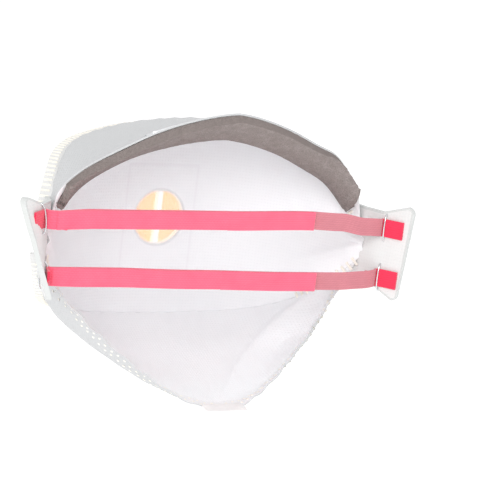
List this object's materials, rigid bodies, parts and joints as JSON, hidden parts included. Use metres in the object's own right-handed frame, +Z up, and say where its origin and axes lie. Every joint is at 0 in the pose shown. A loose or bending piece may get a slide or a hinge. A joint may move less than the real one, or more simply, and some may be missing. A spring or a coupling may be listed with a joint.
{
  "type": "fold-flat respirator mask",
  "caption": "Fold-flat filtering half mask with exhalation valve, nose foam, side tabs and stapled elastic headbands, opened as worn.",
  "frame": {"origin": "centre of the face opening, on the line between the headband staples", "axes": "+X from tab to tab towards the wearer's left, +Y towards the wearer's face, +Z up; the valve faces -Y"},
  "size_m": [0.1648, 0.0892, 0.1116],
  "materials": {
    "cover_web": "matte spunbond non-woven",
    "filter_layer": "matte melt-blown felt",
    "inner_web": "matte soft non-woven",
    "weld": "pressed, slightly glossy non-woven",
    "foam": "fine open-cell foam",
    "clip": "soft mill finish",
    "valve_plastic": "fine moulded texture",
    "flap_rubber": "smooth",
    "band": "finely ribbed elastic",
    "staple_wire": "bright drawn wire"
  },
  "bodies": {
    "root": {"centre_outer_web": "cover_web", "nose_outer_web": "cover_web", "chin_outer_web": "cover_web", "centre_filter": "filter_layer", "nose_filter": "filter_layer", "chin_filter": "filter_layer", "centre_inner_web": "inner_web", "nose_inner_web": "inner_web", "chin_inner_web": "inner_web", "upper_seam": "weld", "lower_seam": "weld", "left_tab": "weld", "right_tab": "weld", "valve_seat": "valve_plastic", "valve_cover": "valve_plastic", "upper_band_left_end": "band", "upper_band_right_end": "band", "lower_band_left_end": "band", "lower_band_right_end": "band", "upper_left_staple": "staple_wire", "upper_right_staple": "staple_wire", "lower_left_staple": "staple_wire", "lower_right_staple": "staple_wire"},
    "nose_edge": {"nose_foam": "foam", "nose_clip": "clip"},
    "chin_edge": {"chin_tab": "weld"},
    "flap": {"valve_flap": "flap_rubber"},
    "upper_band": {"upper_headband": "band"},
    "lower_band": {"lower_headband": "band"}
  },
  "joints": [
    {"name": "nose_panel_fold", "type": "hinge", "parent": "root", "child": "nose_edge", "pos_m": [0, -0.0095, 0.0145], "axis": [1, 0, 0], "range_deg": [-5, 15], "stiffness_Nm_per_rad": 0.05, "deforming": ["nose_outer_web", "nose_filter", "nose_inner_web"]},
    {"name": "chin_panel_fold", "type": "hinge", "parent": "root", "child": "chin_edge", "pos_m": [0, -0.0105, -0.0148], "axis": [1, 0, 0], "range_deg": [-15, 5], "stiffness_Nm_per_rad": 0.01, "deforming": ["chin_outer_web", "chin_filter", "chin_inner_web"]},
    {"name": "valve_flap_lift", "type": "hinge", "parent": "root", "child": "flap", "pos_m": [0, -0.056, 0.0138], "axis": [-1, 0, 0], "range_deg": [0, 14], "stiffness_Nm_per_rad": 0.001},
    {"name": "upper_band_stretch", "type": "slide", "parent": "root", "child": "upper_band", "axis": [0, 1, 0], "range_m": [0, 0.06], "stiffness_N_per_m": 15},
    {"name": "lower_band_stretch", "type": "slide", "parent": "root", "child": "lower_band", "axis": [0, 1, 0], "range_m": [0, 0.06], "stiffness_N_per_m": 15}
  ]
}
